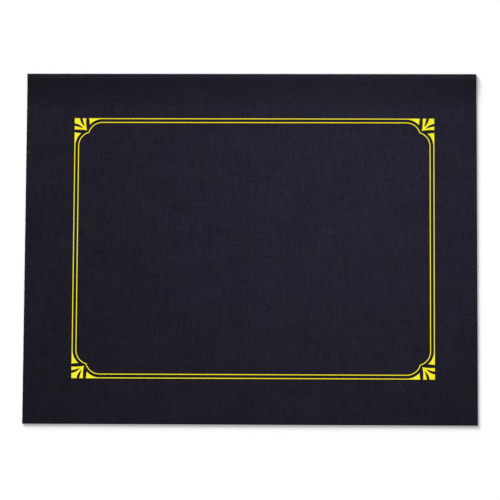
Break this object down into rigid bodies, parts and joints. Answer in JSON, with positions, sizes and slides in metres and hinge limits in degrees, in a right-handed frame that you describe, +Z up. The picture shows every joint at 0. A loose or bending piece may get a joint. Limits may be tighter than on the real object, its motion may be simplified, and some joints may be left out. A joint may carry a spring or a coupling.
{
  "type": "certificate cover",
  "caption": "Folded linen-card certificate cover with a gold foil double-rule border and fan corners; the front panel swings open on a springy fold and slits inside hold the sheet.",
  "frame": {"origin": "middle of the closed cover's footprint, on the surface that the back panel lies on", "axes": "+X along the fold, to the right as the border is seen; +Y from the free edge to the fold; +Z up, out of the front panel"},
  "size_m": [0.3174, 0.2476, 0.002],
  "materials": {
    "linen_card": "matte",
    "gold_foil": "satin"
  },
  "bodies": {
    "back": {"back_panel": "linen_card", "fold": "linen_card"},
    "front": {"front_panel": "linen_card", "foil_fan_top_left": "gold_foil", "foil_fan_top_right": "gold_foil", "foil_fan_bottom_left": "gold_foil", "foil_fan_bottom_right": "gold_foil", "foil_outer_rule_top": "gold_foil", "foil_outer_rule_bottom": "gold_foil", "foil_outer_rule_left": "gold_foil", "foil_outer_rule_right": "gold_foil", "foil_inner_rule": "gold_foil"}
  },
  "joints": [
    {"name": "fold_hinge", "type": "hinge", "parent": "back", "child": "front", "pos_m": [0, 0.12365, 0.001], "axis": [-1, 0, 0], "range_deg": [0, 179], "deforming": ["fold"]}
  ]
}
